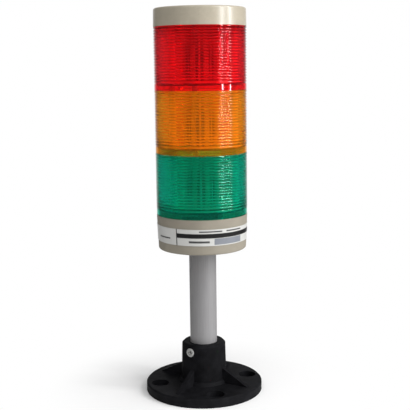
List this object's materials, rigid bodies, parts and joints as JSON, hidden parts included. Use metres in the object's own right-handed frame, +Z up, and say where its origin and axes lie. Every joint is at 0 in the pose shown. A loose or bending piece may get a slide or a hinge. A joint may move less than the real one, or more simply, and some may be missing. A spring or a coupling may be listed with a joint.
{
  "type": "stack light",
  "caption": "Signal tower with ribbed clear red, amber and green bayonet modules on a beige housing, a grey tube and a round black screw-down foot.",
  "frame": {"origin": "middle of the foot's underside, on the ground", "axes": "+Z up along the tube and the stack, -Y towards the front, where the label faces, +X to the right seen from the front"},
  "size_m": [0.091, 0.091, 0.295],
  "materials": {
    "foot_plastic": "moulded, fine matt texture",
    "zinc": "zinc plated",
    "tube": "anodised, satin grey",
    "housing_plastic": "beige, smooth moulded",
    "label_film": "printed film, unlettered",
    "board": "lacquered board",
    "terminal_plastic": "moulded",
    "inner_plastic": "moulded, white",
    "brass": "drawn",
    "lamp": "clear-topped lamp",
    "rubber": "soft, black",
    "green_lens": "clear tinted, polished",
    "amber_lens": "clear tinted, polished",
    "red_lens": "clear tinted, polished"
  },
  "bodies": {
    "base": {"foot": "foot_plastic", "set_screw_insert": "zinc", "set_screw": "zinc", "pole": "tube", "pole_screw": "zinc", "base_housing": "housing_plastic", "rating_label": "label_film", "base_board": "board", "board_screws": "zinc", "terminal_block": "terminal_plastic", "base_columns": "inner_plastic", "base_contact_rods": "brass"},
    "green_module": {"green_lens": "green_lens", "green_carrier": "inner_plastic", "green_contact_rods": "brass", "green_contact_fingers": "brass", "green_lamp_boards": "board", "green_lamps": "lamp", "green_seal": "rubber"},
    "amber_module": {"amber_lens": "amber_lens", "amber_carrier": "inner_plastic", "amber_contact_rods": "brass", "amber_contact_fingers": "brass", "amber_lamp_boards": "board", "amber_lamps": "lamp", "amber_seal": "rubber"},
    "red_module": {"red_lens": "red_lens", "red_carrier": "inner_plastic", "red_contact_rods": "brass", "red_contact_fingers": "brass", "red_lamp_boards": "board", "red_lamps": "lamp", "red_seal": "rubber"},
    "cap": {"top_cap": "housing_plastic", "cap_seal": "rubber"}
  },
  "joints": [
    {"name": "green_twist", "type": "hinge", "parent": "base", "child": "green_module", "pos_m": [0, 0, 0.1405], "axis": [0, 0, 1], "range_deg": [0, 22]},
    {"name": "amber_twist", "type": "hinge", "parent": "green_module", "child": "amber_module", "pos_m": [0, 0, 0.1875], "axis": [0, 0, 1], "range_deg": [0, 22]},
    {"name": "red_twist", "type": "hinge", "parent": "amber_module", "child": "red_module", "pos_m": [0, 0, 0.2345], "axis": [0, 0, 1], "range_deg": [0, 22]},
    {"name": "cap_twist", "type": "hinge", "parent": "red_module", "child": "cap", "pos_m": [0, 0, 0.2815], "axis": [0, 0, 1], "range_deg": [0, 22]}
  ]
}
